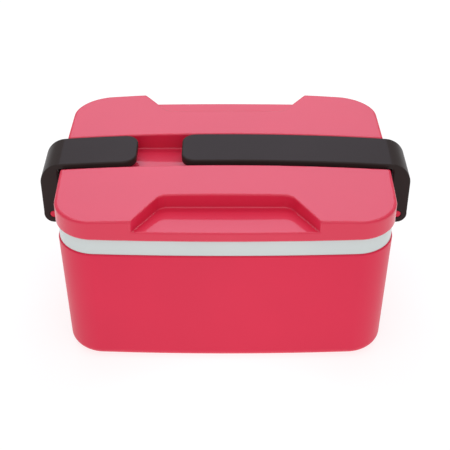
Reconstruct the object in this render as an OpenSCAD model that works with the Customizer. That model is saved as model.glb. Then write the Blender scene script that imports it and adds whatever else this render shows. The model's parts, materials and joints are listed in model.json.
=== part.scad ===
// Electric lunch box with a lift-off lid that two swing-over arms clamp down.
// Millimetres. Origin at the bottom centre, X along the long side, front towards -Y, +Z up.

/* [Body] */
// Width of the lid along X, without the arms
lid_w = 210.4; // [204:0.2:224]
// Depth of the lid along Y at its middle
lid_d = 156.9; // [150:0.1:166]
// Corner radius of the lid in plan
corner_r = 23.8; // [21:0.1:28]
// How far the long sides bow out at their middle
bow_long = 3.05; // [0:0.05:4]
// How far the short sides bow out at their middle
bow_short = 1.2; // [0:0.01:2]
// Gap that the rubber feet leave under the body
foot_h = 1.8; // [1:0.1:3]
// Height of the outer shell, bottom to rim
shell_h = 84.5; // [82:0.5:95]
// Height of the pale band between the shell and the lid
band_h = 11.8; // [10:0.1:15]
// Draft of the outer shell on each side, rim to bottom
shell_draft = 1.72; // [0.5:0.01:2.5]
// Radius of the shell's bottom edge
bottom_r = 6.4; // [4:0.1:8]
// Wall thickness of the moulded shells
wall = 2.2; // [1.8:0.1:2.4]

/* [Lid] */
// Height of the lid, lower edge to the top of the dome
lid_h = 16.9; // [15.5:0.1:20]
// Height of the channel's floor above the lid's lower edge
deck_h = 5.2; // [4.6:0.1:6]
// Height of the finger recesses' floor above the lid's lower edge
recess_h = 6.3; // [4.6:0.1:8]
// Radius of the dome
dome_r = 1600; // [1400:50:4000]
// Width of the channel that the arms lie in
channel_w = 38; // [36:0.5:42]
// Half width of a finger recess at its inner wall
recess_w = 40; // [30:0.5:45]
// Distance of that wall from the middle of the lid
recess_y = 51.6; // [48:0.1:56]
// Widening of the recess per mm towards the lid's edge
recess_flare = 0.635; // [0.3:0.005:0.8]
// Corner radius of the recess in plan
recess_r = 3.6; // [2:0.2:8]

/* [Arms] */
// Width of an arm along Y
arm_w = 32.8; // [30:0.2:33]
// X of the left arm's tip
left_tip = -57.2; // [-70:0.2:-50]
// X of the right arm's tip
right_tip = -28.2; // [-40:0.2:0]
// Thickness of the arm's skin
arm_skin = 2.3; // [2:0.1:2.6]
// Height of the arm's top above the lid's lower edge, in the middle
arm_top = 18.4; // [17:0.1:19]
// Radius of the long curve of the arm's top
arm_curve = 1580; // [1200:10:3000]
// Distance of the hinge bar from the lid's side
bar_out = 7.9; // [7.5:0.1:8.5]
// Height of the hinge bar's axis above the body's bottom edge
bar_z = 72.6; // [68:0.1:74]
// Radius of the hinge bar
bar_r = 2.5; // [2.2:0.1:2.6]
// Running clearance of the arm on the bar
bar_fit = 0.06; // [0.04:0.01:0.1]

/* [Inside] */
// Height of the well's floor above the body's bottom edge
well_z = 32.2; // [31:0.1:36]
// Inset of the well's wall from the lid's outline, at the mouth
well_in = 8.5; // [8.5:0.1:10]
// Sheet thickness of the food tray
tray_t = 0.8; // [0.6:0.1:1.2]

/* [Hidden] */
$fn = 48;

A = lid_w / 2;                       // half width of the lid
B = lid_d / 2;                       // half depth of the lid
z0 = foot_h;                         // bottom edge of the body
z_rim = z0 + shell_h;                // rim of the outer shell
z_lid = z_rim + band_h;              // lower edge of the lid
z_col = z_lid - 0.3;                 // top of the housing's collar
z_deck = z_lid + deck_h;             // floor of the channel
z_rec = z_lid + recess_h;            // floor of the finger recesses
z_top = z_lid + lid_h;               // top of the dome
z_fl = z0 + well_z;                  // floor of the well
px = A + bar_out;                    // hinge bar axis
pz = z0 + bar_z;
z_cov = z0 + 2.7;                    // inner face of the base cover
boss = [[74, 30], [-74, 30], [74, -30], [-74, -30]];
lboss = [[84, 44], [-84, 44], [84, -44], [-84, -44]];
in_z = z0 + 14.2;                    // middle of the power inlet
rim_in = 0.65;                       // the shell's rim, in from the lid's outline
in_y = B - 2.9;                      // bottom of the inlet's flange pocket
lamp_x = 30;                         // indicator lamp beside the inlet
plug_x = 50;                         // steam plug, under the right arm

// ---- outlines: rounded rectangle whose four sides bow out a little
function rr(a, b, r, nc = 8, nx = 8, ny = 6) = concat(
    [for (i = [0:nc]) let (t = 90 * i / nc) [a - r + r * cos(t), b - r + r * sin(t)]],
    [for (i = [1:nx - 1]) [(a - r) * (1 - 2 * i / nx), b]],
    [for (i = [0:nc]) let (t = 90 + 90 * i / nc) [r - a + r * cos(t), b - r + r * sin(t)]],
    [for (i = [1:ny - 1]) [-a, (b - r) * (1 - 2 * i / ny)]],
    [for (i = [0:nc]) let (t = 180 + 90 * i / nc) [r - a + r * cos(t), r - b + r * sin(t)]],
    [for (i = [1:nx - 1]) [(a - r) * (2 * i / nx - 1), -b]],
    [for (i = [0:nc]) let (t = 270 + 90 * i / nc) [a - r + r * cos(t), r - b + r * sin(t)]],
    [for (i = [1:ny - 1]) [a, (b - r) * (2 * i / ny - 1)]]);
function bowed(P, a, b) = [for (p = P) [p.x * (1 - bow_short / a * pow(p.y / b, 2)),
                                        p.y * (1 - bow_long / b * pow(p.x / a, 2))]];
// lid outline moved in by d
function plan(d) = bowed(rr(A - d, B - d, max(4, corner_r - d)), A - d, B - d);
// draft of the outer shell, as an inset at height z
function d_out(z) = rim_in + shell_draft * (z_rim - z) / shell_h;
// inset of the well's wall at height z
function d_well(z) = well_in + 2 * (z_col - z) / (z_col - z_fl);
// corner b of the path a-b-c, rounded
function unit(v) = v / norm(v);
function turn(a, b, c, r, n = 6) = let (u = unit(a - b), v = unit(c - b), h = acos(u * v) / 2,
    o = b + unit(u + v) * (r / sin(h)), p = b + u * (r / tan(h)), q = b + v * (r / tan(h)),
    t0 = atan2(p.y - o.y, p.x - o.x), t1 = atan2(q.y - o.y, q.x - o.x),
    dt = (t1 - t0 + 900) % 360 - 180) [for (i = [0:n]) o + r * [cos(t0 + dt * i / n), sin(t0 + dt * i / n)]];
function dome(r) = z_top - r * r / (2 * dome_r);

// closed skin through a list of rings [z, inset], capped at both ends
module loft(rings) {
    P = [for (q = rings) for (p = plan(q[1])) [p.x, p.y, q[0]]];
    n = len(plan(0)); m = len(rings);
    polyhedron(points = P, faces = concat([[for (i = [0:n - 1]) i]],
        [for (k = [0:m - 2]) for (i = [0:n - 1]) [k * n + i, (k + 1) * n + i, (k + 1) * n + (i + 1) % n, k * n + (i + 1) % n]],
        [[for (i = [n - 1:-1:0]) (m - 1) * n + i]]), convexity = 8);
}
module plate(d, za, zb) { translate([0, 0, za]) linear_extrude(zb - za) polygon(plan(d)); }
module band(d0, d1, za, zb) { difference() { plate(d0, za, zb); plate(d1, za - 1, zb + 1); } }
module pad(a, b, r, za, zb) { translate([0, 0, za]) linear_extrude(zb - za) polygon(rr(a, b, r, 8, 1, 1)); }
module rod(r, za, zb) { translate([0, 0, za]) cylinder(r = r, h = zb - za); }
module along_y(r, ya, yb) { translate([0, ya, 0]) rotate([-90, 0, 0]) cylinder(r = r, h = yb - ya); }

// ---- tube along a route, for the leads inside the base
function dirs(R) = [for (i = [0:len(R) - 1]) unit(R[min(i + 1, len(R) - 1)] - R[max(i - 1, 0)])];
function side(d) = unit(abs(d.z) < 0.9 ? cross(d, [0, 0, 1]) : cross(d, [1, 0, 0]));
function bez(R, i, t) = let (n = len(R), p = R[max(i - 1, 0)], q = R[i], r = R[i + 1], s = R[min(i + 2, n - 1)])
    0.5 * ((2 * q) + (r - p) * t + (2 * p - 5 * q + 4 * r - s) * t * t + (3 * q - p - 3 * r + s) * t * t * t);
function smooth(R, k = 4) = concat([for (i = [0:len(R) - 2]) for (j = [0:k - 1]) bez(R, i, j / k)], [R[len(R) - 1]]);
module lead(R, r) {
    S = smooth(R); D = dirs(S); n = 8; m = len(S);
    P = [for (i = [0:m - 1]) let (u = side(D[i]), v = cross(D[i], u)) for (j = [0:n - 1]) S[i] + r * (cos(45 * j) * u + sin(45 * j) * v)];
    polyhedron(points = P, faces = concat([[for (j = [0:n - 1]) j]],
        [for (k = [0:m - 2]) for (j = [0:n - 1]) [k * n + j, (k + 1) * n + j, (k + 1) * n + (j + 1) % n, k * n + (j + 1) % n]],
        [[for (j = [n - 1:-1:0]) (m - 1) * n + j]]), convexity = 6);
}
live_route = [[-4.3, 59, 16], [-4.3, 53, 16], [-14, 47, 15], [-34, 40, 14], [-48, 26, 15], [-51.5, 16, 19], [-51.5, 10, 23], [-51.5, 5.2, 23.6]];
neutral_route = [[4.3, 59, 16], [4.3, 53, 16], [14, 47, 15], [28, 36, 14], [40, 20, 15], [44, 0, 16], [38, -16, 20], [26, -24.5, 25], [18, -25, 27.4], [9.5, -25, 27.4]];
lamp_route_a = [[29, 61.45, 16], [29, 58, 15], [24, 53.5, 12], [12, 52, 12.2], [6.5, 53.5, 14], [4.9, 57, 15.6]];
lamp_route_b = [[31, 61.45, 16], [31.5, 57, 14.5], [25, 50.5, 10], [8, 49, 9.6], [-2, 51, 12], [-4, 56.5, 14.9]];
link_route = [[-9.5, -25, 27.4], [-18, -25, 27.4], [-30, -22, 24], [-40, -17, 21], [-49, -12, 21], [-51.5, -9, 23], [-51.5, -5.2, 23.6]];

// ---- base
module hinge_side() {
    // two lugs and the bar on the right side
    for (s = [-1, 1]) translate([0, s * 9.75 + 1.75, 0]) rotate([90, 0, 0]) linear_extrude(3.5)
        union() {
            translate([px, pz]) circle(r = 3.3);
            polygon([[A - 2.2, pz + 1], [px - 1, pz - 0.5], [px + 0.9, pz + 3.1], [A - 2.2, pz + 8]]);
        }
    translate([px, 0, pz]) along_y(bar_r, -16.2, 16.2);
}
module outer_shell() color([0.86, 0.20, 0.30]) difference() {
    union() {
        loft(concat(
            [for (i = [0:5]) let (t = 18 * i, z = z0 + bottom_r * (1 - cos(t))) [z, d_out(z) + bottom_r * (1 - sin(t))]],
            [[z_rim - 1.6, d_out(z_rim - 1.6) + 0.25], [z_rim - 1.2, rim_in - 0.05], [z_rim - 0.4, rim_in - 0.05], [z_rim, rim_in + 0.35], [z_rim, rim_in + wall]],
            [[z0 + bottom_r + 1.5, d_out(z0 + bottom_r) + wall], [z0 + wall + 1, d_out(z0) + wall + 1.2], [z0 + wall, d_out(z0) + wall + 3.4]]));
        hinge_side();
        mirror([1, 0, 0]) hinge_side();
    }
    pad(80, 52, 12, z0 - 1, z0 + 4);
    pad(84, 56, 16, z0 - 1, z0 + 1.2);
    // pocket and opening of the power inlet, hole of the indicator
    translate([-15.2, in_y, in_z - 9.2]) cube([30.4, 10, 18.4]);
    translate([-12.2, B - 9, in_z - 7.2]) cube([24.4, 10, 14.4]);
    translate([lamp_x, 0, in_z]) { along_y(2.7, B - 9, B + 2); along_y(3.7, B - 3.1, B + 2); }
}
module inner_housing() color([0.80, 0.82, 0.82]) difference() {
    union() {
        loft([[z_fl - 2, 14.5], [z_fl - 0.8, 11], [z_fl + 2, 9.2], [z_fl + 4, d_well(z_fl + 4) - 2],
              [z_lid - 2.5, d_well(z_lid - 2.5) - 2], [z_lid - 2.5, 4.8], [z_rim - 6.5, 4.8], [z_rim - 6.5, 3.3],
              [z_rim, 3.3], [z_rim, 1.3], [z_col - 0.5, 1.3], [z_col, 1.8], [z_col, well_in - 0.6], [z_col - 0.8, well_in],
              [z_fl + 4, d_well(z_fl + 4)], [z_fl + 1.2, d_well(z_fl) + 1], [z_fl, d_well(z_fl) + 4]]);
        for (p = boss) translate([p.x, p.y, 0]) rod(3.5, z_cov, z_fl - 1);
    }
    pad(60, 35, 12, z_fl - 4, z_fl + 2);
    for (p = boss) translate([p.x, p.y, 0]) rod(1.3, z_cov - 1, z_cov + 12);
}
module base_cover() color([0.80, 0.18, 0.27]) difference() {
    union() { pad(83.7, 55.7, 15.7, z0, z0 + 1.2); pad(79.7, 51.7, 11.7, z0, z_cov); }
    for (x = [-70, 70], y = [-44, 44]) translate([x, y, 0]) rod(6.1, z0 - 1, z0 + 0.7);
    for (p = boss) translate([p.x, p.y, 0]) { rod(3.2, z0 - 1, z0 + 1.5); rod(1.5, z0 - 1, z_cov + 1); }
    for (i = [-3:3]) translate([i * 9 - 1.2, -12, z0 - 1]) cube([2.4, 24, 6]);
}
module rubber_feet() color([0.15, 0.15, 0.15])
    for (x = [-70, 70], y = [-44, 44]) translate([x, y, 0]) rotate_extrude()
        polygon([[0, 0], [5.2, 0], [5.9, 0.7], [5.9, z0 + 0.7], [0, z0 + 0.7]]);
module base_screws() color([0.75, 0.76, 0.78])
    for (p = boss) translate([p.x, p.y, 0]) difference() {
        union() { rod(2.8, z0 + 0.1, z0 + 1.5); rod(1.35, z0 + 1.5, z_cov + 10); }
        for (a = [0, 90]) translate([0, 0, z0]) rotate([0, 0, a]) translate([-1.8, -0.35, -1]) cube([3.6, 0.7, 1.8]);
    }
module heating_plate() color([0.80, 0.81, 0.82]) difference() {
    union() {
        pad(65, 40, 15, z_fl - 3.4, z_fl - 2);
        pad(58, 33, 10, z_fl - 2, z_fl + 0.5);
        for (x = [-36, 36]) translate([x, 0, 0]) rod(3, z_fl - 9.2, z_fl - 3);
    }
    for (x = [-36, 36]) translate([x, 0, 0]) rod(1.2, z_fl - 10, z_fl - 3.8);
}
module plate_seal() color([0.85, 0.85, 0.80]) difference() {
    pad(60, 35, 12, z_fl - 2, z_fl - 0.2);
    pad(58, 33, 10, z_fl - 3, z_fl + 1);
}
module heater_element() color([0.90, 0.88, 0.82])
    translate([-30, -11, z_fl - 8.2]) cube([60, 22, 4.8]);
module heater_clamp() color([0.70, 0.71, 0.73]) difference() {
    translate([-41, -7, z_fl - 9.2]) cube([82, 14, 1]);
    for (x = [-36, 36]) translate([x, 0, 0]) rod(3.05, z_fl - 12, z_fl);
}
module clamp_screws() color([0.75, 0.76, 0.78])
    for (x = [-36, 36]) translate([x, 0, 0]) { rod(4.2, z_fl - 10.8, z_fl - 9.2); rod(1.25, z_fl - 9.3, z_fl - 4.2); }
module thermostat() color([0.20, 0.20, 0.22]) translate([-51.5, 0, 0]) {
    rod(8, z_fl - 8.2, z_fl - 3.4);
    for (s = [-1, 1]) translate([-1.5, s * 4 - 1.2, z_fl - 11.4]) cube([3, 2.4, 3.4]);
}
module thermal_fuse() color([0.85, 0.86, 0.84]) translate([0, -25, z_fl - 6.6]) rotate([0, 90, 0]) {
    rod(2.4, -7, 7); rod(0.9, -9.5, 9.5);
}
module power_inlet() color([0.10, 0.10, 0.11]) difference() {
    union() {
        translate([-15, in_y, in_z - 9]) cube([30, 2.0, 18]);
        translate([-12, in_y - 14, in_z - 7]) cube([24, 14.5, 14]);
    }
    for (x = [-4.3, 4.3]) translate([x, 0, in_z]) along_y(4.9, in_y - 11.5, in_y + 5);
    translate([-4.3, in_y - 11.5, in_z - 4.9]) cube([8.6, 17, 9.8]);
    for (x = [-4.3, 4.3]) translate([x, 0, in_z]) along_y(1.2, in_y - 20, in_y);
}
module inlet_pins() color([0.85, 0.80, 0.60])
    for (x = [-4.3, 4.3]) translate([x, 0, in_z]) {
        along_y(1.2, in_y - 16.55, in_y - 2);
        translate([0, in_y - 2, 0]) sphere(r = 1.2);
    }
module indicator_lens() color([0.90, 0.35, 0.15]) translate([lamp_x, 0, in_z]) {
    along_y(2.6, B - 7, B - 2.5); along_y(3.6, B - 3.1, B - 1.7);
}
module indicator_lamp() color([0.95, 0.80, 0.60]) translate([lamp_x, 0, in_z]) {
    along_y(1.9, B - 15, B - 8.9); translate([0, B - 8.9, 0]) sphere(r = 1.9);
    along_y(2.6, B - 17, B - 15);
}
module live_lead() color([0.45, 0.25, 0.15]) lead(live_route, 1.1);
module neutral_lead() color([0.15, 0.30, 0.60]) lead(neutral_route, 1.1);
module link_lead() color([0.90, 0.90, 0.88]) lead(link_route, 1.1);
module lamp_leads() color([0.85, 0.20, 0.15]) { lead(lamp_route_a, 0.5); lead(lamp_route_b, 0.5); }

// ---- lid
function recess(g) = let (w = recess_w + g, y = recess_y - g, e = B + 6, f = w + (e - y) * recess_flare,
    p = [-f, -e], q = [-w, -y], r = [w, -y], s = [f, -e])
    concat([p], turn(p, q, r, recess_r), turn(q, r, s, recess_r), [s]);
module dome_block(drop) {
    translate([0, 0, z_lid - 1]) rotate_extrude($fn = 96)
        polygon(concat([[0, 0], [140, 0]], [for (i = [14:-1:0]) [i * 10, dome(i * 10) - drop - z_lid + 1]]));
}
module recess_cut(g, za) { for (s = [0, 1]) mirror([0, s, 0]) translate([0, 0, za]) linear_extrude(40) polygon(recess(g)); }
module lid_cover() color([0.87, 0.22, 0.32]) difference() {
    intersection() { plate(0, z_lid, z_top + 5); dome_block(0); }
    // channel and the two finger recesses
    translate([-A - 5, -channel_w / 2, z_deck]) cube([2 * A + 10, channel_w, 40]);
    recess_cut(0, z_rec);
    // hollow underside, leaving skin under channel and recesses
    difference() {
        intersection() { plate(wall, z_lid - 1, z_top); dome_block(wall); }
        difference() {
            union() {
                translate([-A - 5, -channel_w / 2 - wall, z_deck - wall]) cube([2 * A + 10, channel_w + 2 * wall, 40]);
                recess_cut(wall, z_rec - wall);
                for (p = lboss) translate([p.x, p.y, 0]) rod(3.2, z_lid + 2.3, z_top);
            }
        }
    }
    for (p = lboss) translate([p.x, p.y, 0]) rod(1.1, z_lid - 1, z_lid + 10);
    translate([plug_x, 0, 0]) rod(3.4, z_lid, z_top);
}
module lid_liner() color([0.82, 0.83, 0.83]) difference() {
    union() { plate(3, z_lid + 0.5, z_lid + 2.3); band(10.4, 12, z_lid - 4, z_lid + 1); }
    for (p = lboss) translate([p.x, p.y, 0]) rod(1.4, z_lid - 5, z_lid + 5);
    translate([plug_x, 0, 0]) rod(3.4, z_lid - 2, z_top);
}
module lid_seal() color([0.92, 0.92, 0.90]) band(9.1, 10.4, z_lid - 3.2, z_lid - 0.7);
module lid_screws() color([0.75, 0.76, 0.78])
    for (p = lboss) translate([p.x, p.y, 0]) { rod(2.5, z_lid - 1, z_lid + 0.5); rod(1.15, z_lid + 0.4, z_lid + 9); }
module steam_plug() color([0.30, 0.30, 0.31]) translate([plug_x, 0, 0]) {
    rod(5.2, z_deck + 0.3, z_deck + 2.2); rod(3.1, z_lid + 0.6, z_deck + 1);
}

// ---- arms: right-hand one with its tip at xt
function arm_z(x) = z_lid + arm_top - x * x / (2 * arm_curve);
function arm_t(x) = x < A - 49 ? 5.5 : 5.5 - 1.9 * (x - A + 49) / 48;
foot_r = 6.4;                        // radius of the arm's foot
xo = px + foot_r;                    // outer face of the arm
rc = 13.5;                           // radius of its bend
xc = xo - rc;
module arm_side(xt, y0, y1) translate([0, y1, 0]) rotate([90, 0, 0]) linear_extrude(y1 - y0)
    polygon(concat([for (i = [0:16]) let (x = xt + (xc - xt) * i / 16) [x, arm_z(x)]],
        [for (t = [80:-10:0]) [xc + rc * cos(t), arm_z(xc) - rc + rc * sin(t)]],
        [[xo, pz], [px - 5.5, pz], [px - 5.5, z_deck + 2.2], [A - 0.3, arm_z(A - 0.3) - arm_t(A - 0.3)]],
        [for (i = [0:8]) let (x = A - 3 - (A - 3 - xt) * i / 8) [x, arm_z(x) - arm_t(x)]]));
module arm_hollow(xt, y) translate([0, y, 0]) rotate([90, 0, 0]) linear_extrude(2 * y)
    polygon(concat([for (i = [0:16]) let (x = xt + (xc - xt) * i / 16) [x, arm_z(x) - arm_skin]],
        [for (t = [80:-10:0]) [xc + (rc - arm_skin) * cos(t), arm_z(xc) - rc + (rc - arm_skin) * sin(t)]],
        [[xo - arm_skin, pz - 12], [xt, pz - 12]]));
module tip_plan(xt, w, r) linear_extrude(200) union() {
    translate([xt + r, -w / 2]) square([300, w]);
    translate([xt, -w / 2 + r]) square([300, w - 2 * r]);
    for (s = [-1, 1]) translate([xt + r, s * (w / 2 - r)]) circle(r = r);
}
module arm(xt) difference() {
    union() {
        intersection() { arm_side(xt, -arm_w / 2, arm_w / 2); tip_plan(xt, arm_w, 9); }
        for (s = [-1, 1]) translate([px, s * (arm_w / 2 - 1.6), pz]) along_y(foot_r, -1.6, 1.6);
    }
    difference() {
        intersection() { arm_hollow(xt, arm_w / 2 - 3.2); tip_plan(xt + 2.6, arm_w - 5.2, 6.4); }
        // cross ribs of the top leg
        for (x = [A - 14:-22:xt + 12]) if (abs(x - plug_x) > 8) translate([x, -20, z_deck + 2]) cube([1.6, 40, 40]);
    }
    translate([px, 0, pz]) along_y(bar_r + bar_fit, -30, 30);
    translate([px - 10, -30, pz - 2.1]) cube([10, 60, 4.2]);
}
module left_arm() color([0.22, 0.21, 0.21]) mirror([1, 0, 0]) arm(-left_tip);
module right_arm() color([0.22, 0.21, 0.21]) arm(right_tip);

// ---- tray and its lid
z_tr = z_rim + 3.5;                  // rim of the tray
module food_tray() color([0.78, 0.79, 0.80]) {
    t = tray_t; f = z_fl + 0.8;
    loft([[f, 17.5], [f + 1.2, 14.2], [f + 4, 12.6], [z_tr - t, 10.8], [z_tr - t, 9.6],
          [z_tr, 9.6], [z_tr, 10.8 + t], [f + 4 + t, 12.6 + t], [f + 1.2 + t, 14.2 + t], [f + t, 17.5 + t]]);
}
module tray_lid() color([0.86, 0.88, 0.88]) difference() {
    union() {
        plate(9.8, z_tr + 0.3, z_tr + 1.9);
        band(13.8, 15.2, z_tr - 3.5, z_tr + 1);
        translate([-16, -5, z_tr + 1.5]) cube([32, 10, 1.6]);
    }
}
module tray_lid_seal() color([0.92, 0.92, 0.90]) band(12.1, 13.8, z_tr - 3, z_tr - 1);

outer_shell();
inner_housing();
base_cover();
rubber_feet();
base_screws();
heating_plate();
plate_seal();
heater_element();
heater_clamp();
clamp_screws();
thermostat();
thermal_fuse();
power_inlet();
inlet_pins();
indicator_lens();
indicator_lamp();
live_lead();
neutral_lead();
link_lead();
lamp_leads();
lid_cover();
lid_liner();
lid_seal();
lid_screws();
steam_plug();
left_arm();
right_arm();
food_tray();
tray_lid();
tray_lid_seal();
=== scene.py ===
import json
import math
import bpy
import numpy as np
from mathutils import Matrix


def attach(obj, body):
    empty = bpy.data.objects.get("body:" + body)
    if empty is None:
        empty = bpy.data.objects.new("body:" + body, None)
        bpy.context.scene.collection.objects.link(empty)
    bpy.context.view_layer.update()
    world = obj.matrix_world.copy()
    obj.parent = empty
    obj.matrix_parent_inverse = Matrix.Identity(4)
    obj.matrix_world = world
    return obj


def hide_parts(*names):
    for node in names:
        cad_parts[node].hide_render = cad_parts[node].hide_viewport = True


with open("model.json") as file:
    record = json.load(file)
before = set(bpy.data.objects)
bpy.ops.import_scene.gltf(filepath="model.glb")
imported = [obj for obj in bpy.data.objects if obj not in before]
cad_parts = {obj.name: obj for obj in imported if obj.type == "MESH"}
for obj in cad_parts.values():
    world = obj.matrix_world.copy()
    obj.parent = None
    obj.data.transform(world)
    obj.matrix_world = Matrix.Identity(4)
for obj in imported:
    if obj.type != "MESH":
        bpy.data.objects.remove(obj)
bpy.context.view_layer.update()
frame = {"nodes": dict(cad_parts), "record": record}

MM = 0.001

# ---------------------------------------------------------------- dimensions, the same as the part's (mm)
A, B, RC = 105.2, 78.45, 23.8            # lid half width, half depth, corner radius
BOW_L, BOW_S = 3.05, 1.2                 # bow of the long and the short sides
Z0, Z_RIM, Z_LID = 1.8, 86.3, 98.1
Z_COL, Z_DECK, Z_REC, Z_TOP = 97.8, 103.3, 104.4, 115.0
DOME_R, WALL, DRAFT = 1600.0, 2.2, 1.72
RIM_IN = 0.65                            # the shell's rim, in from the lid's outline
PX, PZ, BAR_R, FOOT_R = 113.1, 74.4, 2.5, 6.4
XO, BEND_R = PX + FOOT_R, 13.5           # outer face of the arms, radius of their bend
Z_FL, WELL_IN = 34.0, 8.5
Z_TR = 89.8
IN_Z, IN_Y = 16.0, B - 2.9


# ---------------------------------------------------------------- camera, at the photograph's view
def camera():
    data = bpy.data.cameras.new("camera")
    data.lens, data.sensor_width, data.sensor_fit = 80.9, 36.0, "HORIZONTAL"
    data.clip_start, data.clip_end = 0.05, 120
    cam = bpy.data.objects.new("camera", data)
    cam.location = (-0.0003, -0.5602, 0.4607)
    cam.rotation_euler = (math.radians(54.0), 0, math.radians(0.0))
    bpy.context.scene.collection.objects.link(cam)
    bpy.context.scene.camera = cam
    return cam


# ---------------------------------------------------------------- mesh helpers
def new_object(name, verts, faces, smooth=True):
    me = bpy.data.meshes.new(name)
    me.from_pydata([tuple(v) for v in verts], [], [tuple(f) for f in faces])
    me.validate()
    me.update()
    if smooth:
        me.polygons.foreach_set("use_smooth", [True] * len(me.polygons))
    ob = bpy.data.objects.new(name, me)
    bpy.context.scene.collection.objects.link(ob)
    return ob


def join(name, parts):
    """several vertex and face lists as one"""
    V, F, n = [], [], 0
    for v, f in parts:
        V.append(np.asarray(v, float))
        F += [tuple(i + n for i in q) for q in f]
        n += len(v)
    return new_object(name, np.vstack(V), F)


def rr(a, b, r, nc=24, nx=36, ny=28):
    """rounded rectangle, counter-clockwise, always the same number of points"""
    P = []
    for q, (sx, sy) in enumerate(((1, 1), (-1, 1), (-1, -1), (1, -1))):
        t = np.radians(90 * q + 90 * np.arange(nc + 1) / nc)
        P.append(np.c_[sx * (a - r) + r * np.cos(t), sy * (b - r) + r * np.sin(t)])
        k = nx if q % 2 == 0 else ny
        u = np.arange(1, k) / k
        if q == 0:
            P.append(np.c_[(a - r) * (1 - 2 * u), np.full(k - 1, b)])
        elif q == 1:
            P.append(np.c_[np.full(k - 1, -a), (b - r) * (1 - 2 * u)])
        elif q == 2:
            P.append(np.c_[(a - r) * (2 * u - 1), np.full(k - 1, -b)])
        else:
            P.append(np.c_[np.full(k - 1, a), (b - r) * (2 * u - 1)])
    return np.vstack(P)


def bowed(P, a, b):
    x, y = P[:, 0], P[:, 1]
    return np.c_[x * (1 - BOW_S / a * (y / b) ** 2), y * (1 - BOW_L / b * (x / a) ** 2)]


def plan(d, r=None):
    r = max(4.0, RC - d) if r is None else r
    return bowed(rr(A - d, B - d, r), A - d, B - d)


def flat(a, b, r):
    return rr(a, b, r)


def loft(rings, closed=False, centre=None):
    """rings: list of (z, outline); closed joins the last ring to the first, else both ends get a fan to their middle"""
    n = len(rings[0][1])
    V = [np.c_[o, np.full(n, z)] for z, o in rings]
    F = []
    m = len(rings)
    i = np.arange(n)
    j = (i + 1) % n
    last = m if closed else m - 1
    for k in range(last):
        a, b = k * n, ((k + 1) % m) * n
        F += list(zip(a + i, a + j, b + j, b + i))
    V = np.vstack(V)
    if not closed:
        c0, c1 = V[:n].mean(0), V[-n:].mean(0)
        V = np.vstack([V, c0, c1])
        F += list(zip(np.full(n, m * n), j, i))
        F += list(zip(np.full(n, m * n + 1), (m - 1) * n + i, (m - 1) * n + j))
    return V * MM, F


def arc(z, d, r, t0, t1, n=8):
    """(z, inset) points of a fillet: centre (z, d), angle 0 towards the outside, 90 upwards"""
    t = np.radians(np.linspace(t0, t1, n + 1))
    return [(z + r * math.sin(q), d - r * math.cos(q)) for q in t]


def weighted(ob):
    m = ob.modifiers.new("normals", "WEIGHTED_NORMAL")
    m.mode, m.weight, m.keep_sharp = "FACE_AREA", 60, False
    return ob


# ---------------------------------------------------------------- surface of a solid given by its distance field
def meshed(sdf, lo, hi, h):
    """Closed quad mesh of sdf < 0 in the box, each point moved onto the exact surface."""
    lo, hi = np.array(lo, float) - 1.6 * h, np.array(hi, float) + 1.6 * h
    nx, ny, nz = (int(math.ceil(s / h)) + 1 for s in (hi - lo))
    x, y, z = (lo[k] + h * np.arange(m) for k, m in enumerate((nx, ny, nz)))
    F = np.empty((nx, ny, nz), np.float32)
    for i in range(0, nx, 24):
        F[i:i + 24] = sdf(x[i:i + 24, None, None], y[None, :, None], z[None, None, :])
    S = F < 0
    cx, cy, cz = nx - 1, ny - 1, nz - 1
    total = np.zeros((cx, cy, cz), np.int8)
    for a in (0, 1):
        for b in (0, 1):
            for c in (0, 1):
                total += S[a:a + cx, b:b + cy, c:c + cz]
    I, J, K = np.nonzero((total > 0) & (total < 8))
    index = np.full((cx, cy, cz), -1, np.int32)
    index[I, J, K] = np.arange(len(I))
    acc = np.zeros((len(I), 3))
    cnt = np.zeros(len(I))
    corners = [(a, b, c) for a in (0, 1) for b in (0, 1) for c in (0, 1)]
    for p in corners:
        for ax in range(3):
            if p[ax]:
                continue
            q = list(p)
            q[ax] = 1
            f0 = F[I + p[0], J + p[1], K + p[2]].astype(float)
            f1 = F[I + q[0], J + q[1], K + q[2]].astype(float)
            m = (f0 < 0) != (f1 < 0)
            t = np.where(m, f0 / np.where(m, f0 - f1, 1), 0)
            pos = np.array(p, float)[None, :].repeat(len(I), 0)
            pos[:, ax] += t
            acc += pos * m[:, None]
            cnt += m
    V = lo + h * (np.c_[I, J, K] + acc / cnt[:, None])
    quads = []
    for ax in range(3):
        a1, a2 = (ax + 1) % 3, (ax + 2) % 3
        s0 = [slice(1, -1)] * 3
        s1 = [slice(1, -1)] * 3
        s0[ax], s1[ax] = slice(0, -1), slice(1, None)
        d = S[tuple(s0)].astype(np.int8) - S[tuple(s1)].astype(np.int8)
        E = np.array(np.nonzero(d))
        sgn = d[tuple(E)]
        for k in range(3):
            if k != ax:
                E[k] += 1
        o1, o2 = np.zeros((3, 1), int), np.zeros((3, 1), int)
        o1[a1], o2[a2] = 1, 1
        c = [E - o1 - o2, E - o2, E, E - o1]
        q = np.array([index[tuple(k)] for k in c]).T
        q = np.where(sgn[:, None] > 0, q, q[:, ::-1])
        quads.append(q)
    Q = np.vstack(quads)
    e = 0.01
    for it in range(6):
        f = sdf(V[:, 0], V[:, 1], V[:, 2])
        g = np.stack([(sdf(*(V + e * u).T) - sdf(*(V - e * u).T)) / (2 * e) for u in np.eye(3)], 1)
        step = f[:, None] * g / np.maximum((g * g).sum(1), 0.25)[:, None]
        s = np.linalg.norm(step, axis=1)
        V -= step * np.minimum(1, 0.5 * h / np.maximum(s, 1e-9))[:, None]
    return V * MM, Q.tolist()


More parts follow.
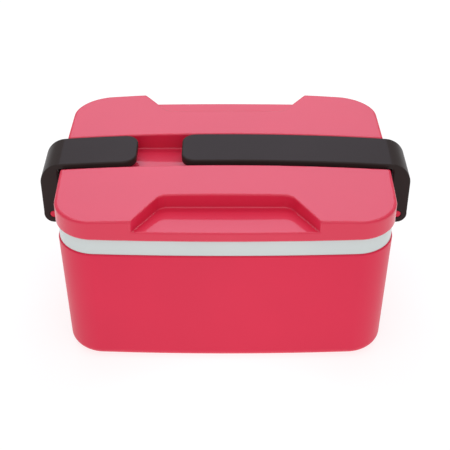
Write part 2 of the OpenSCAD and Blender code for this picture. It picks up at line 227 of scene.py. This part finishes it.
def box2(x, y, a, b, r):
    """distance to a rounded rectangle about the origin"""
    qx, qy = np.abs(x) - a + r, np.abs(y) - b + r
    return np.hypot(np.maximum(qx, 0), np.maximum(qy, 0)) + np.minimum(np.maximum(qx, qy), 0) - r


def cut(a, b, r):
    """a and b both, with a rounded edge"""
    if r <= 0:
        return np.maximum(a, b)
    return np.minimum(np.maximum(a, b), -r) + np.hypot(np.maximum(a + r, 0), np.maximum(b + r, 0))


def add(a, b, r):
    """a or b, with a fillet"""
    if r <= 0:
        return np.minimum(a, b)
    return np.maximum(np.minimum(a, b), r) - np.hypot(np.maximum(r - a, 0), np.maximum(r - b, 0))


def outline(x, y, d):
    """distance to the lid's outline moved in by d, with its bowed sides"""
    a, b = A - d, B - d
    u = x / (1 - BOW_S / a * np.minimum(np.abs(y) / b, 1.1) ** 2)
    v = y / (1 - BOW_L / b * np.minimum(np.abs(u) / a, 1.1) ** 2)
    u = x / (1 - BOW_S / a * np.minimum(np.abs(v) / b, 1.1) ** 2)
    return box2(u, v, a, b, max(4.0, RC - d))


# ---------------------------------------------------------------- lid
def wedge(x, y, g):
    """plan of the two finger recesses: inner wall and two flared side walls, grown by g"""
    w, yy, k = 40.0 + g, 51.6 - g, 0.635
    n = math.hypot(1, k)
    side = (np.abs(x) - w - k * (np.abs(y) - yy)) / n
    return cut(side, yy - np.abs(y), 3.6)


def lid_sdf(x, y, z):
    r2 = x * x + y * y
    top = z - (Z_TOP - r2 / (2 * DOME_R))
    edge = outline(x, y, 0)
    solid = cut(edge, top, 1.3)
    floor, floor_r = Z_DECK - z, Z_REC - z
    pocket_c = cut(np.abs(y) - 19.0 + 0 * x, floor, 0.45)
    pocket_r = cut(wedge(x, y, 0), floor_r, 0.45)
    solid = cut(solid, -pocket_c, 1.1)
    solid = cut(solid, -pocket_r, 0.8)
    solid = cut(solid, Z_LID - z, 0.45)
    # skin: hollow from below
    hollow = np.maximum(outline(x, y, WALL), top + WALL)
    keep = np.minimum(np.maximum(np.abs(y) - 19.0 - WALL + 0 * x, floor - WALL), np.maximum(wedge(x, y, WALL), floor_r - WALL))
    hollow = np.maximum(hollow, -keep)
    solid = cut(solid, -hollow, 0.3)
    return cut(solid, 3.4 - np.hypot(x - 50.0, y) + 0 * z, 0.3)


# ---------------------------------------------------------------- arms (right-hand one; the left is mirrored)
def arm_sdf(xt):
    xo, xi = XO, PX - 5.5
    def f(x, y, z):
        zt = Z_LID + 18.4 - x * x / 3160.0
        th = np.where(x < A - 49, 5.5, 5.5 - 1.9 * (x - A + 49) / 48)
        top = (z - zt) / np.sqrt(1 + (x / 1580.0) ** 2)
        under = (z - zt + th)
        outer = cut(top, x - xo + 0 * z, BEND_R)
        inner = cut(x - xi + 0 * z, under, 1.6)
        side = np.maximum(outer, -inner)
        side = np.maximum(side, PZ - z)
        disc = np.hypot(x - PX, z - PZ) - FOOT_R
        tip = box2(x - xt - 200.0, y, 200.0, 16.4, 9.0)
        arm = cut(side, tip, 1.0)
        web = cut(disc + 0 * y, np.abs(np.abs(y) - 14.8) - 1.6, 0.5)
        web = np.maximum(web, z - PZ - 3.0)
        inside = np.maximum(outer + 2.3, np.abs(y) - 13.2)
        inside = np.maximum(inside, box2(x - xt - 202.6, y, 200.0, 13.8, 6.4))
        arm = cut(arm, -inside, 0.35)
        for k in range(12):
            xr = A - 14 - 22 * k + 0.8
            if xr < xt + 12:
                break
            if abs(xr - 50) > 8:
                rib = np.maximum(np.abs(x - xr) - 0.8 + 0 * z, Z_DECK + 2.0 - z)
                rib = np.maximum(np.maximum(rib, side), np.abs(y) - 13.6)
                rib = np.maximum(rib, tip + 1.2)
                arm = np.minimum(arm, rib)
        arm = np.minimum(arm, web)
        bore = np.hypot(x - PX, z - PZ) - BAR_R - 0.06
        slot = np.maximum(np.abs(z - PZ) - 2.1, x - PX)
        return cut(arm, -np.minimum(bore, slot), 0.3)
    return f


# ---------------------------------------------------------------- materials
def plastic(name, rgb, rough=0.28, vary=0.05, grain=900.0, bump=0.02, spec=0.5, sss=0.0, ior=1.49, coat=0.0, coat_rough=0.08):
    m = bpy.data.materials.new(name)
    m.use_nodes = True
    nt = m.node_tree
    N, L = nt.nodes, nt.links
    b = N["Principled BSDF"]
    tc = N.new("ShaderNodeTexCoord")
    big = N.new("ShaderNodeTexNoise")
    big.inputs["Scale"].default_value = 14.0
    big.inputs["Detail"].default_value = 3.0
    fine = N.new("ShaderNodeTexNoise")
    fine.inputs["Scale"].default_value = grain
    fine.inputs["Detail"].default_value = 2.0
    L.new(tc.outputs["Object"], big.inputs["Vector"])
    L.new(tc.outputs["Object"], fine.inputs["Vector"])
    ramp = N.new("ShaderNodeMapRange")
    ramp.inputs["From Min"].default_value = 0.35
    ramp.inputs["From Max"].default_value = 0.65
    L.new(big.outputs["Fac"], ramp.inputs["Value"])
    mix = N.new("ShaderNodeMix")
    mix.data_type = "RGBA"
    mix.inputs["A"].default_value = (*[c * (1 - vary) for c in rgb], 1)
    mix.inputs["B"].default_value = (*[min(1, c * (1 + vary)) for c in rgb], 1)
    L.new(ramp.outputs["Result"], mix.inputs["Factor"])
    L.new(mix.outputs["Result"], b.inputs["Base Color"])
    rr_ = N.new("ShaderNodeMapRange")
    rr_.inputs["To Min"].default_value = rough * 0.86
    rr_.inputs["To Max"].default_value = rough * 1.16
    L.new(fine.outputs["Fac"], rr_.inputs["Value"])
    L.new(rr_.outputs["Result"], b.inputs["Roughness"])
    bp = N.new("ShaderNodeBump")
    bp.inputs["Strength"].default_value = bump
    bp.inputs["Distance"].default_value = 0.0006
    L.new(fine.outputs["Fac"], bp.inputs["Height"])
    L.new(bp.outputs["Normal"], b.inputs["Normal"])
    b.inputs["IOR"].default_value = ior
    b.inputs["Specular IOR Level"].default_value = spec
    if sss:
        b.inputs["Subsurface Weight"].default_value = sss
        b.inputs["Subsurface Radius"].default_value = (1.0, 0.25, 0.2)
        b.inputs["Subsurface Scale"].default_value = 0.002
    if coat:
        b.inputs["Coat Weight"].default_value = coat
        b.inputs["Coat Roughness"].default_value = coat_rough
    return m


def metal(name, rgb, rough=0.3, scale=(400, 12, 12), bump=0.03):
    m = bpy.data.materials.new(name)
    m.use_nodes = True
    nt = m.node_tree
    N, L = nt.nodes, nt.links
    b = N["Principled BSDF"]
    b.inputs["Metallic"].default_value = 1.0
    tc = N.new("ShaderNodeTexCoord")
    mp = N.new("ShaderNodeMapping")
    mp.inputs["Scale"].default_value = scale
    nz = N.new("ShaderNodeTexNoise")
    nz.inputs["Scale"].default_value = 6.0
    nz.inputs["Detail"].default_value = 6.0
    L.new(tc.outputs["Object"], mp.inputs["Vector"])
    L.new(mp.outputs["Vector"], nz.inputs["Vector"])
    mix = N.new("ShaderNodeMix")
    mix.data_type = "RGBA"
    mix.inputs["A"].default_value = (*[c * 0.9 for c in rgb], 1)
    mix.inputs["B"].default_value = (*[min(1, c * 1.06) for c in rgb], 1)
    L.new(nz.outputs["Fac"], mix.inputs["Factor"])
    L.new(mix.outputs["Result"], b.inputs["Base Color"])
    r = N.new("ShaderNodeMapRange")
    r.inputs["To Min"].default_value = rough * 0.75
    r.inputs["To Max"].default_value = rough * 1.3
    L.new(nz.outputs["Fac"], r.inputs["Value"])
    L.new(r.outputs["Result"], b.inputs["Roughness"])
    bp = N.new("ShaderNodeBump")
    bp.inputs["Strength"].default_value = bump
    bp.inputs["Distance"].default_value = 0.0004
    L.new(nz.outputs["Fac"], bp.inputs["Height"])
    L.new(bp.outputs["Normal"], b.inputs["Normal"])
    return m


RED = (0.755, 0.0175, 0.068)
MAT = {
    "shell_red": plastic("shell_red", RED, rough=0.38, vary=0.02, bump=0.006, grain=1600, spec=0.30),
    "lid_red": plastic("lid_red", RED, rough=0.50, vary=0.02, bump=0.005, grain=1600, spec=0.32, coat=0.60, coat_rough=0.07),
    "housing_grey": plastic("housing_grey", (0.665, 0.72, 0.715), rough=0.24, vary=0.02, bump=0.006, grain=1600, spec=0.4),
    "arm_charcoal": plastic("arm_charcoal", (0.036, 0.0265, 0.0255), rough=0.36, vary=0.06, bump=0.015, grain=1800, spec=0.03, coat=0.10, coat_rough=0.08),
    "rubber_black": plastic("rubber_black", (0.02, 0.02, 0.02), rough=0.75, vary=0.15, bump=0.15),
    "silicone_white": plastic("silicone_white", (0.74, 0.74, 0.70), rough=0.5, vary=0.04, sss=0.3),
    "silicone_grey": plastic("silicone_grey", (0.05, 0.05, 0.055), rough=0.5, vary=0.08),
    "heater_ceramic": plastic("heater_ceramic", (0.68, 0.65, 0.58), rough=0.7, vary=0.08, bump=0.12),
    "black_plastic": plastic("black_plastic", (0.018, 0.018, 0.020), rough=0.42, vary=0.1, bump=0.1, grain=1400),
    "lens_amber": plastic("lens_amber", (0.70, 0.16, 0.03), rough=0.12, vary=0.06, sss=0.3),
    "lamp_glass": plastic("lamp_glass", (0.85, 0.60, 0.42), rough=0.08, vary=0.06),
    "lead_brown": plastic("lead_brown", (0.12, 0.05, 0.025), rough=0.45, vary=0.1),
    "lead_blue": plastic("lead_blue", (0.03, 0.09, 0.35), rough=0.45, vary=0.1),
    "lead_white": plastic("lead_white", (0.70, 0.70, 0.68), rough=0.45, vary=0.06),
    "lead_red": plastic("lead_red", (0.45, 0.03, 0.02), rough=0.45, vary=0.1),
    "tray_lid_plastic": plastic("tray_lid_plastic", (0.66, 0.70, 0.71), rough=0.36, vary=0.03, sss=0.25),
    "screw_steel": metal("screw_steel", (0.58, 0.59, 0.60), rough=0.32, scale=(60, 60, 60)),
    "plate_aluminium": metal("plate_aluminium", (0.78, 0.79, 0.80), rough=0.36, scale=(30, 600, 30)),
    "tray_steel": metal("tray_steel", (0.62, 0.63, 0.64), rough=0.26, scale=(20, 500, 500)),
    "pin_brass": metal("pin_brass", (0.75, 0.62, 0.36), rough=0.25, scale=(80, 10, 80)),
}
SLOT_OF = {s["node"]: s["material_slot"] for s in frame["record"]["subparts"]}


def dress(ob, slot, body=None, nodes=()):
    ob.data.materials.clear()
    ob.data.materials.append(MAT[slot])
    if body:
        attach(ob, body)
    if nodes:
        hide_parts(*nodes)
    return ob


def zd(pairs, shape=plan):
    return [(z, shape(d)) for z, d in pairs]


def d_out(z):
    return RIM_IN + DRAFT * (Z_RIM - z) / 84.5


def d_well(z):
    return WELL_IN + 2 * (Z_COL - z) / (Z_COL - Z_FL)


# ---------------------------------------------------------------- base
def outer_shell():
    rb = 6.4
    R = []
    # outer bottom edge, wall, rim
    for t in np.radians(np.linspace(0, 90, 15)):
        z = Z0 + rb * (1 - math.cos(t))
        R.append((z, plan(d_out(z) + rb * (1 - math.sin(t)))))
    for z in (8.8, 10, 14, 30, 48, 66, 78, 83, 84.6, 85.2):
        R.append((z, plan(d_out(z))))
    # rounded rim
    d = d_out(85.3)
    for q in np.radians(np.linspace(0, 90, 9)):
        R.append((Z_RIM - 0.95 + 0.95 * math.sin(q), plan(d + 0.95 * (1 - math.cos(q)))))
    R += zd([(Z_RIM, RIM_IN + WALL - 0.3), (Z_RIM - 0.08, RIM_IN + WALL - 0.08), (Z_RIM - 0.3, RIM_IN + WALL)])
    for z in (84, 60, 30, 8.8):
        R.append((z, plan(d_out(z) + WALL)))
    zf = Z0 + WALL
    R += zd([(zf + 2.5, d_out(6) + WALL + 0.6), (zf + 0.9, d_out(4) + WALL + 2.0), (zf, d_out(zf) + WALL + 4.2), (zf, d_out(zf) + WALL + 6)])
    # floor with the rebate of the base cover
    R += [(zf, flat(80.4, 52.4, 12)), (zf - 0.1, flat(80.1, 52.1, 12)), (zf - 0.3, flat(80, 52, 12)), (Z0 + 1.2, flat(80, 52, 12)), (Z0 + 1.2, flat(80.4, 52.4, 12.4)), (Z0 + 1.2, flat(83.6, 55.6, 15.6)),
          (Z0 + 1.2, flat(84, 56, 16)), (Z0 + 0.3, flat(84, 56, 16)), (Z0 + 0.1, flat(84.1, 56.1, 16)), (Z0, flat(84.4, 56.4, 16))]
    R += [(Z0, plan(d_out(Z0) + rb + 0.8))]
    v, f = loft(R, closed=True)
    # the lofted quads must face outwards: rings run up the outside
    parts = [(v, f)]
    ob = join("outer_shell_moulding", parts)
    # openings of the power inlet and the indicator
    cutters = []
    cutters.append(box_mesh((-15.2, IN_Y, IN_Z - 9.2), (15.2, IN_Y + 10, IN_Z + 9.2), "cut_a"))
    cutters.append(box_mesh((-12.2, B - 9, IN_Z - 7.2), (12.2, B + 1, IN_Z + 7.2), "cut_b"))
    cutters.append(tube_y(30, IN_Z, 2.7, B - 9, B + 2, "cut_c"))
    cutters.append(tube_y(30, IN_Z, 3.7, B - 3.1, B + 2.2, "cut_d"))
    for c in cutters:
        boolean(ob, c, "DIFFERENCE")
    # lugs and bars
    def lug(s):
        def g(x, y, z):
            X = s * x
            circle = np.hypot(X - PX, z - PZ) - 3.3
            poly = np.maximum.reduce([line(X, z, (A - 2.2, PZ + 1), (PX - 1, PZ - 0.5)), line(X, z, (PX + 0.9, PZ + 3.1), (A - 2.2, PZ + 8)),
                                      A - 2.2 - X + 0 * z, X - PX - 0.9 + 0 * z])
            body = cut(add(circle, poly, 1.0), np.abs(np.abs(y) - 9.75) - 1.75, 0.4)
            bar = cut(np.hypot(X - PX, z - PZ) - BAR_R, np.abs(y) - 16.2, 0.5)
            return add(body, bar, 0.4)
        lo = (min(s * (A - 2.2), s * 117), -16.4, PZ - 3.5)
        hi = (max(s * (A - 2.2), s * 117), 16.4, PZ + 9)
        return meshed(g, lo, hi, 0.42)
    extra = join("lugs_tmp", [lug(1), lug(-1)])
    merge(ob, extra)
    return ob


def outward(ob):
    """faces turned outwards"""
    import bmesh
    bm = bmesh.new()
    bm.from_mesh(ob.data)
    bmesh.ops.recalc_face_normals(bm, faces=bm.faces)
    bm.to_mesh(ob.data)
    bm.free()
    return ob


def line(x, z, p, q):
    """distance to the line p-q in the XZ plane, positive on its right"""
    dx, dz = q[0] - p[0], q[1] - p[1]
    n = math.hypot(dx, dz)
    return ((x - p[0]) * dz - (z - p[1]) * dx) / n


def box_mesh(lo, hi, name):
    import itertools
    P = np.array([[(lo, hi)[i][0], (lo, hi)[j][1], (lo, hi)[k][2]] for i in (0, 1) for j in (0, 1) for k in (0, 1)], float) * MM
    F = [(0, 1, 3, 2), (4, 6, 7, 5), (0, 4, 5, 1), (2, 3, 7, 6), (0, 2, 6, 4), (1, 5, 7, 3)]
    return new_object(name, P, F, smooth=False)


def tube_y(x, z, r, ya, yb, name, n=48):
    t = 2 * np.pi * np.arange(n) / n
    P = np.vstack([np.c_[x + r * np.cos(t), np.full(n, y), z + r * np.sin(t)] for y in (ya, yb)]) * MM
    F = [(i, (i + 1) % n, n + (i + 1) % n, n + i) for i in range(n)]
    F = [tuple(reversed(q)) for q in F] + [tuple(range(n)), tuple(reversed(range(n, 2 * n)))]
    return new_object(name, P, F, smooth=False)


def tube_z(x, y, r, za, zb, name, n=48):
    t = 2 * np.pi * np.arange(n) / n
    P = np.vstack([np.c_[x + r * np.cos(t), y + r * np.sin(t), np.full(n, z)] for z in (za, zb)]) * MM
    F = [(i, (i + 1) % n, n + (i + 1) % n, n + i) for i in range(n)] + [tuple(reversed(range(n))), tuple(range(n, 2 * n))]
    return new_object(name, P, F, smooth=False)


def boolean(ob, cutter, op):
    m = ob.modifiers.new("b", "BOOLEAN")
    m.operation, m.object, m.solver = op, cutter, "EXACT"
    apply_mods(ob)
    bpy.data.objects.remove(cutter)


def apply_mods(ob):
    dg = bpy.context.evaluated_depsgraph_get()
    dg.update()
    me = bpy.data.meshes.new_from_object(ob.evaluated_get(dg))
    old = ob.data
    ob.modifiers.clear()
    ob.data = me
    me.name = old.name
    return ob


def merge(ob, other):
    """other's mesh joins ob's"""
    import bmesh
    bm = bmesh.new()
    bm.from_mesh(ob.data)
    bm.from_mesh(other.data)
    bm.to_mesh(ob.data)
    bm.free()
    ob.data.polygons.foreach_set("use_smooth", [True] * len(ob.data.polygons))
    bpy.data.objects.remove(other)
    return ob


def inner_housing():
    R = []
    # outside of the well, from below: floor opening, floor, wall, collar, mouth, inside of the well
    R += [(32.0, flat(60, 35, 12)), (32.0, flat(60.6, 35.6, 12.6)), (32.0, flat(84, 57, 14))]
    zc, zr, zu, k = Z_COL, Z_RIM, Z_LID - 2.5, 1.5
    R += zd([(32.2, 13.0), (33.2, 10.9), (35.0, 9.6), (38.0, d_well(38) - 2), (60, d_well(60) - 2), (zu - 0.8, d_well(zu) - 2), (zu, d_well(zu) - 2.2),
             (zu, 4.8), (zu - 1, 4.8), (zr - 6.2, 4.8), (zr - 6.5, 4.6), (zr - 6.5, 3.5), (zr - 6.2, 3.3), (zr - 0.3, 3.3), (zr, 3.2), (zr, k + 0.3), (zr + 0.1, k + 0.1), (zr + 0.3, k)])
    R += zd([(88.5, k), (92.5, k), (96.0, k), (zc - 1, k), (zc - 0.6, k + 0.06), (zc - 0.25, k + 0.24), (zc - 0.05, k + 0.5), (zc, k + 0.8), (zc, k + 1.2), (zc, 7.0), (zc, 7.5), (zc - 0.1, 7.85), (zc - 0.3, 8.15),
             (zc - 0.6, 8.38), (zc - 1, 8.5)])
    for z in (96, 90, 70, 50, 41):
        R.append((z, plan(d_well(z))))
    for t in np.radians(np.linspace(0, 90, 9)):
        R.append((39.0 - 5.0 * math.sin(t), plan(d_well(39) + 5.0 * (1 - math.cos(t)))))
    R += [(34.0, plan(17.5))]
    R += [(34.0, flat(61, 36, 12.5)), (33.9, flat(60.3, 35.3, 12)), (33.7, flat(60, 35, 12))]
    v, f = loft(R, closed=True)
    return join("inner_housing_moulding", [(v, f)])


def lid_liner():
    zl = Z_LID
    R = zd([(zl + 2.3, 60.0), (zl + 2.3, 3.4), (zl + 2.2, 3.1), (zl + 2.0, 3.0), (zl + 0.8, 3.0), (zl + 0.6, 3.1), (zl + 0.5, 3.4), (zl + 0.5, 10.0), (zl + 0.4, 10.3), (zl + 0.1, 10.4),
            (zl - 3.6, 10.4), (zl - 3.9, 10.5), (zl - 4.0, 10.8), (zl - 4.0, 11.6), (zl - 3.9, 11.9), (zl - 3.6, 12.0), (zl, 12.0), (zl + 0.35, 12.15), (zl + 0.5, 12.6),
            (zl + 0.5, 22), (zl + 0.45, 22.3), (zl + 0.1, 22.8), (zl + 0.0, 23.2), (zl + 0.0, 60.0)])
    R = list(reversed(R))
    v, f = loft(R, closed=False)
    ob = outward(join("lid_liner_moulding", [(v, f)]))
    boolean(ob, tube_z(50, 0, 3.4, Z_LID - 2, Z_LID + 4, "cut_e"), "DIFFERENCE")
    ob.data.polygons.foreach_set("use_smooth", [True] * len(ob.data.polygons))
    return ob


def food_tray():
    t = 0.8
    f0 = Z_FL + 0.8
    R = []
    for q in np.radians(np.linspace(0, 90, 10)):
        R.append((f0 + 5.5 * (1 - math.cos(q)), plan(12.6 + 5.5 * (1 - math.sin(q)), r=max(6.0, RC - 12.6 - 5.5 * (1 - math.sin(q))))))
    R += zd([(f0 + 8, 12.5), (60, 11.7), (Z_TR - 3.0, 10.9), (Z_TR - 1.6, 10.8), (Z_TR - 0.95, 10.6), (Z_TR - t, 10.3), (Z_TR - t, 10.0), (Z_TR - 0.75, 9.75), (Z_TR - 0.4, 9.6), (Z_TR - 0.1, 9.72),
             (Z_TR, 10.0), (Z_TR, 10.9), (Z_TR - 0.15, 11.3), (Z_TR - 0.6, 11.6), (Z_TR - 3, 11.75), (60, 12.5), (f0 + 8, 13.3)])
    for q in np.radians(np.linspace(90, 0, 10)):
        R.append((f0 + t + 4.7 * (1 - math.cos(q)), plan(13.4 + 4.7 * (1 - math.sin(q)), r=max(5.2, RC - 13.4 - 4.7 * (1 - math.sin(q))))))
    R += [(f0 + t, plan(24)), (f0 + t + 0.35, plan(25.5)), (f0 + t + 0.35, plan(45))]
    v, f = loft(R, closed=False)
    return join("food_tray_pressing", [(v, f)])


def tray_lid():
    z = Z_TR
    R = zd([(z + 0.3, 40), (z + 0.3, 15.6), (z + 0.2, 15.3), (z, 15.2), (z - 3.2, 15.2), (z - 3.5, 14.9), (z - 3.5, 14.1), (z - 3.2, 13.8), (z, 13.8), (z + 0.25, 13.6), (z + 0.3, 13.3),
            (z + 0.3, 10.1), (z + 0.4, 9.9), (z + 0.6, 9.8), (z + 1.5, 9.8), (z + 1.75, 9.9), (z + 1.88, 10.2), (z + 1.9, 10.6), (z + 1.9, 17), (z + 1.85, 17.4), (z + 1.45, 18.2), (z + 1.4, 18.8), (z + 1.4, 40)])
    v, f = loft(R, closed=False)
    # finger bar across the middle
    def bar(x, y, zz):
        q = box2(x, y, 16.0, 5.0, 4.9)
        return cut(cut(q, zz - (z + 3.1), 0.7), (z + 0.8) - zz, 0.05)
    w, g = meshed(bar, (-16, -5, z + 0.8), (16, 5, z + 3.1), 0.4)
    return join("tray_lid_moulding", [(v, f), (w, g)])


def plug():
    def g(x, y, z):
        r = np.hypot(x - 50.0, y)
        head = cut(cut(r - 5.2, z - (Z_DECK + 2.2), 0.6), Z_DECK + 0.3 - z, 0.2)
        dish = np.hypot(r, z - (Z_DECK + 5.4)) - 4.0
        stem = cut(r - 3.1, Z_LID + 0.6 - z, 0.4)
        stem = np.maximum(stem, z - Z_DECK - 1)
        return np.minimum(cut(head, -dish, 0.3), stem)
    v, f = meshed(g, (44.6, -5.4, Z_LID + 0.5), (55.4, 5.4, Z_DECK + 2.3), 0.3)
    return join("steam_plug_moulding", [(v, f)])


def ring(name, d0, d1, za, zb, r=0.35):
    """a seal: rounded ring between two insets"""
    m = (d0 + d1) / 2
    P = [(za, m), (za, d1 - r), (za + r * 0.3, d1 - r * 0.3), (za + r, d1), (zb - r, d1), (zb - r * 0.3, d1 - r * 0.3), (zb, d1 - r), (zb, d0 + r),
         (zb - r * 0.3, d0 + r * 0.3), (zb - r, d0), (za + r, d0), (za + r * 0.3, d0 + r * 0.3), (za, d0 + r)]
    v, f = loft(zd(P), closed=True)
    return join(name, [(v, f)])


cam = camera()

shell = outward(outer_shell())
dress(weighted(shell), "shell_red", "base", ["outer_shell"])
housing = outward(inner_housing())
dress(weighted(housing), "housing_grey", "base", ["inner_housing"])

v, f = meshed(lid_sdf, (-A, -B, Z_LID), (A, B, Z_TOP), 0.70)
lid = outward(join("lid_cover_moulding", [(v, f)]))
dress(lid, "lid_red", "lid", ["lid_cover"])
liner = outward(lid_liner())
dress(weighted(liner), "housing_grey", "lid", ["lid_liner"])
seal = outward(ring("lid_seal_ring", 9.1, 10.4, Z_LID - 3.2, Z_LID - 0.7))
dress(seal, "silicone_white", "lid", ["lid_seal"])
valve = outward(plug())
dress(valve, "silicone_grey", "steam_valve", ["steam_plug"])

v, f = meshed(arm_sdf(-28.2), (-28.2, -16.4, PZ - 6), (XO, 16.4, Z_LID + 18.5), 0.52)
right = outward(join("right_arm_moulding", [(v, f)]))
dress(right, "arm_charcoal", "arm_right", ["right_arm"])
v, f = meshed(arm_sdf(57.2), (57.2, -16.4, PZ - 6), (XO, 16.4, Z_LID + 18.5), 0.52)
v = v * np.array([-1, 1, 1])
left = outward(join("left_arm_moulding", [(v, f)]))
dress(left, "arm_charcoal", "arm_left", ["left_arm"])

tray = outward(food_tray())
dress(weighted(tray), "tray_steel", "tray", ["food_tray"])
tlid = outward(tray_lid())
dress(weighted(tlid), "tray_lid_plastic", "inner_lid", ["tray_lid"])
tseal = outward(ring("tray_seal_ring", 12.1, 13.8, Z_TR - 3, Z_TR - 1))
dress(tseal, "silicone_white", "inner_lid", ["tray_lid_seal"])

# the other CAD nodes keep their shape and get their finish
for name, ob in frame["nodes"].items():
    if ob.hide_render:
        continue
    slot = SLOT_OF[name]
    if ob.data.materials:
        for i in range(len(ob.data.materials)):
            ob.data.materials[i] = MAT[slot]
    else:
        ob.data.materials.append(MAT[slot])


# ---------------------------------------------------------------- floor and light
def floor():
    w = 30.0
    ob = new_object("floor", [(-w, -w, 0), (w, -w, 0), (w, w, 0), (-w, w, 0)], [(0, 1, 2, 3)], smooth=False)
    m = bpy.data.materials.new("floor_paper")
    m.use_nodes = True
    nt = m.node_tree
    b = nt.nodes["Principled BSDF"]
    n = nt.nodes.new("ShaderNodeTexNoise")
    n.inputs["Scale"].default_value = 40
    r = nt.nodes.new("ShaderNodeMapRange")
    r.inputs["To Min"].default_value = 0.29
    r.inputs["To Max"].default_value = 0.31
    c = nt.nodes.new("ShaderNodeCombineColor")
    nt.links.new(n.outputs["Fac"], r.inputs["Value"])
    for k in ("Red", "Green", "Blue"):
        nt.links.new(r.outputs["Result"], c.inputs[k])
    nt.links.new(c.outputs["Color"], b.inputs["Base Color"])
    b.inputs["Roughness"].default_value = 0.9
    b.inputs["Specular IOR Level"].default_value = 0.1
    b.inputs["Emission Color"].default_value = (1, 1, 1, 1)
    # painted pool of light on the floor: the paper's emission is a little stronger just in front of the box
    tc = nt.nodes.new("ShaderNodeTexCoord")
    mp = nt.nodes.new("ShaderNodeMapping")
    mp.inputs["Location"].default_value = (0.0, 1.0, 0.0)
    mp.inputs["Scale"].default_value = (6.5, 6.5, 6.5)
    gr = nt.nodes.new("ShaderNodeTexGradient")
    gr.gradient_type = "QUADRATIC_SPHERE"
    em = nt.nodes.new("ShaderNodeMapRange")
    em.inputs["To Min"].default_value = FLOOR_GLOW
    em.inputs["To Max"].default_value = FLOOR_GLOW * 1.4
    nt.links.new(tc.outputs["Object"], mp.inputs["Vector"])
    nt.links.new(mp.outputs["Vector"], gr.inputs["Vector"])
    nt.links.new(gr.outputs["Fac"], em.inputs["Value"])
    nt.links.new(em.outputs["Result"], b.inputs["Emission Strength"])
    ob.data.materials.append(m)
    return ob


def softbox(name, azimuth, elevation, distance, size, radiance, color=(1, 1, 1), tilt=None):
    """rectangular light aimed at the box; tilt makes its lower edge dimmer"""
    from mathutils import Vector
    a, e = math.radians(azimuth), math.radians(elevation)
    target = Vector((0, 0, 0.07))
    loc = target + distance * Vector((math.sin(a) * math.cos(e), math.cos(a) * math.cos(e), math.sin(e)))
    d = bpy.data.lights.new(name, "AREA")
    d.shape, d.size, d.size_y, d.color = "RECTANGLE", size[0], size[1], color
    d.energy = radiance * math.pi * size[0] * size[1]
    o = bpy.data.objects.new(name, d)
    o.location = loc
    o.rotation_euler = (target - loc).to_track_quat("-Z", "Y").to_euler()
    bpy.context.scene.collection.objects.link(o)
    if tilt is not None:
        d.use_nodes = True
        nt = d.node_tree
        em = nt.nodes["Emission"]
        g = nt.nodes.new("ShaderNodeNewGeometry")
        sp = nt.nodes.new("ShaderNodeSeparateXYZ")
        mr = nt.nodes.new("ShaderNodeMapRange")
        mr.inputs["To Min"].default_value = tilt[0]
        mr.inputs["To Max"].default_value = tilt[1]
        nt.links.new(g.outputs["Parametric"], sp.inputs[0])
        nt.links.new(sp.outputs["Y"], mr.inputs["Value"])
        nt.links.new(mr.outputs["Result"], em.inputs["Strength"])
    return o


FLOOR_GLOW = 0.77
WORLD = 0.51
floor()
world = bpy.data.worlds.new("studio")
bpy.context.scene.world = world
world.use_nodes = True
bg = world.node_tree.nodes["Background"]
bg.inputs["Color"].default_value = (1, 1, 1, 1)
bg.inputs["Strength"].default_value = WORLD
softbox("back_softbox", 0, 37, 1.5, (0.98, 0.90), 1.62, (0.92, 0.98, 1.26), tilt=(0.45, 1.40))
softbox("overhead_strip", 0, 64, 1.5, (1.6, 0.30), 3.1)
softbox("front_softbox", 180, 74, 1.5, (1.6, 0.7), 0.85)
softbox("front_fill", 180, 42, 1.5, (1.6, 0.6), 1.10)
bpy.context.scene.view_settings.view_transform = "Standard"
bpy.context.scene.view_settings.look = "None"
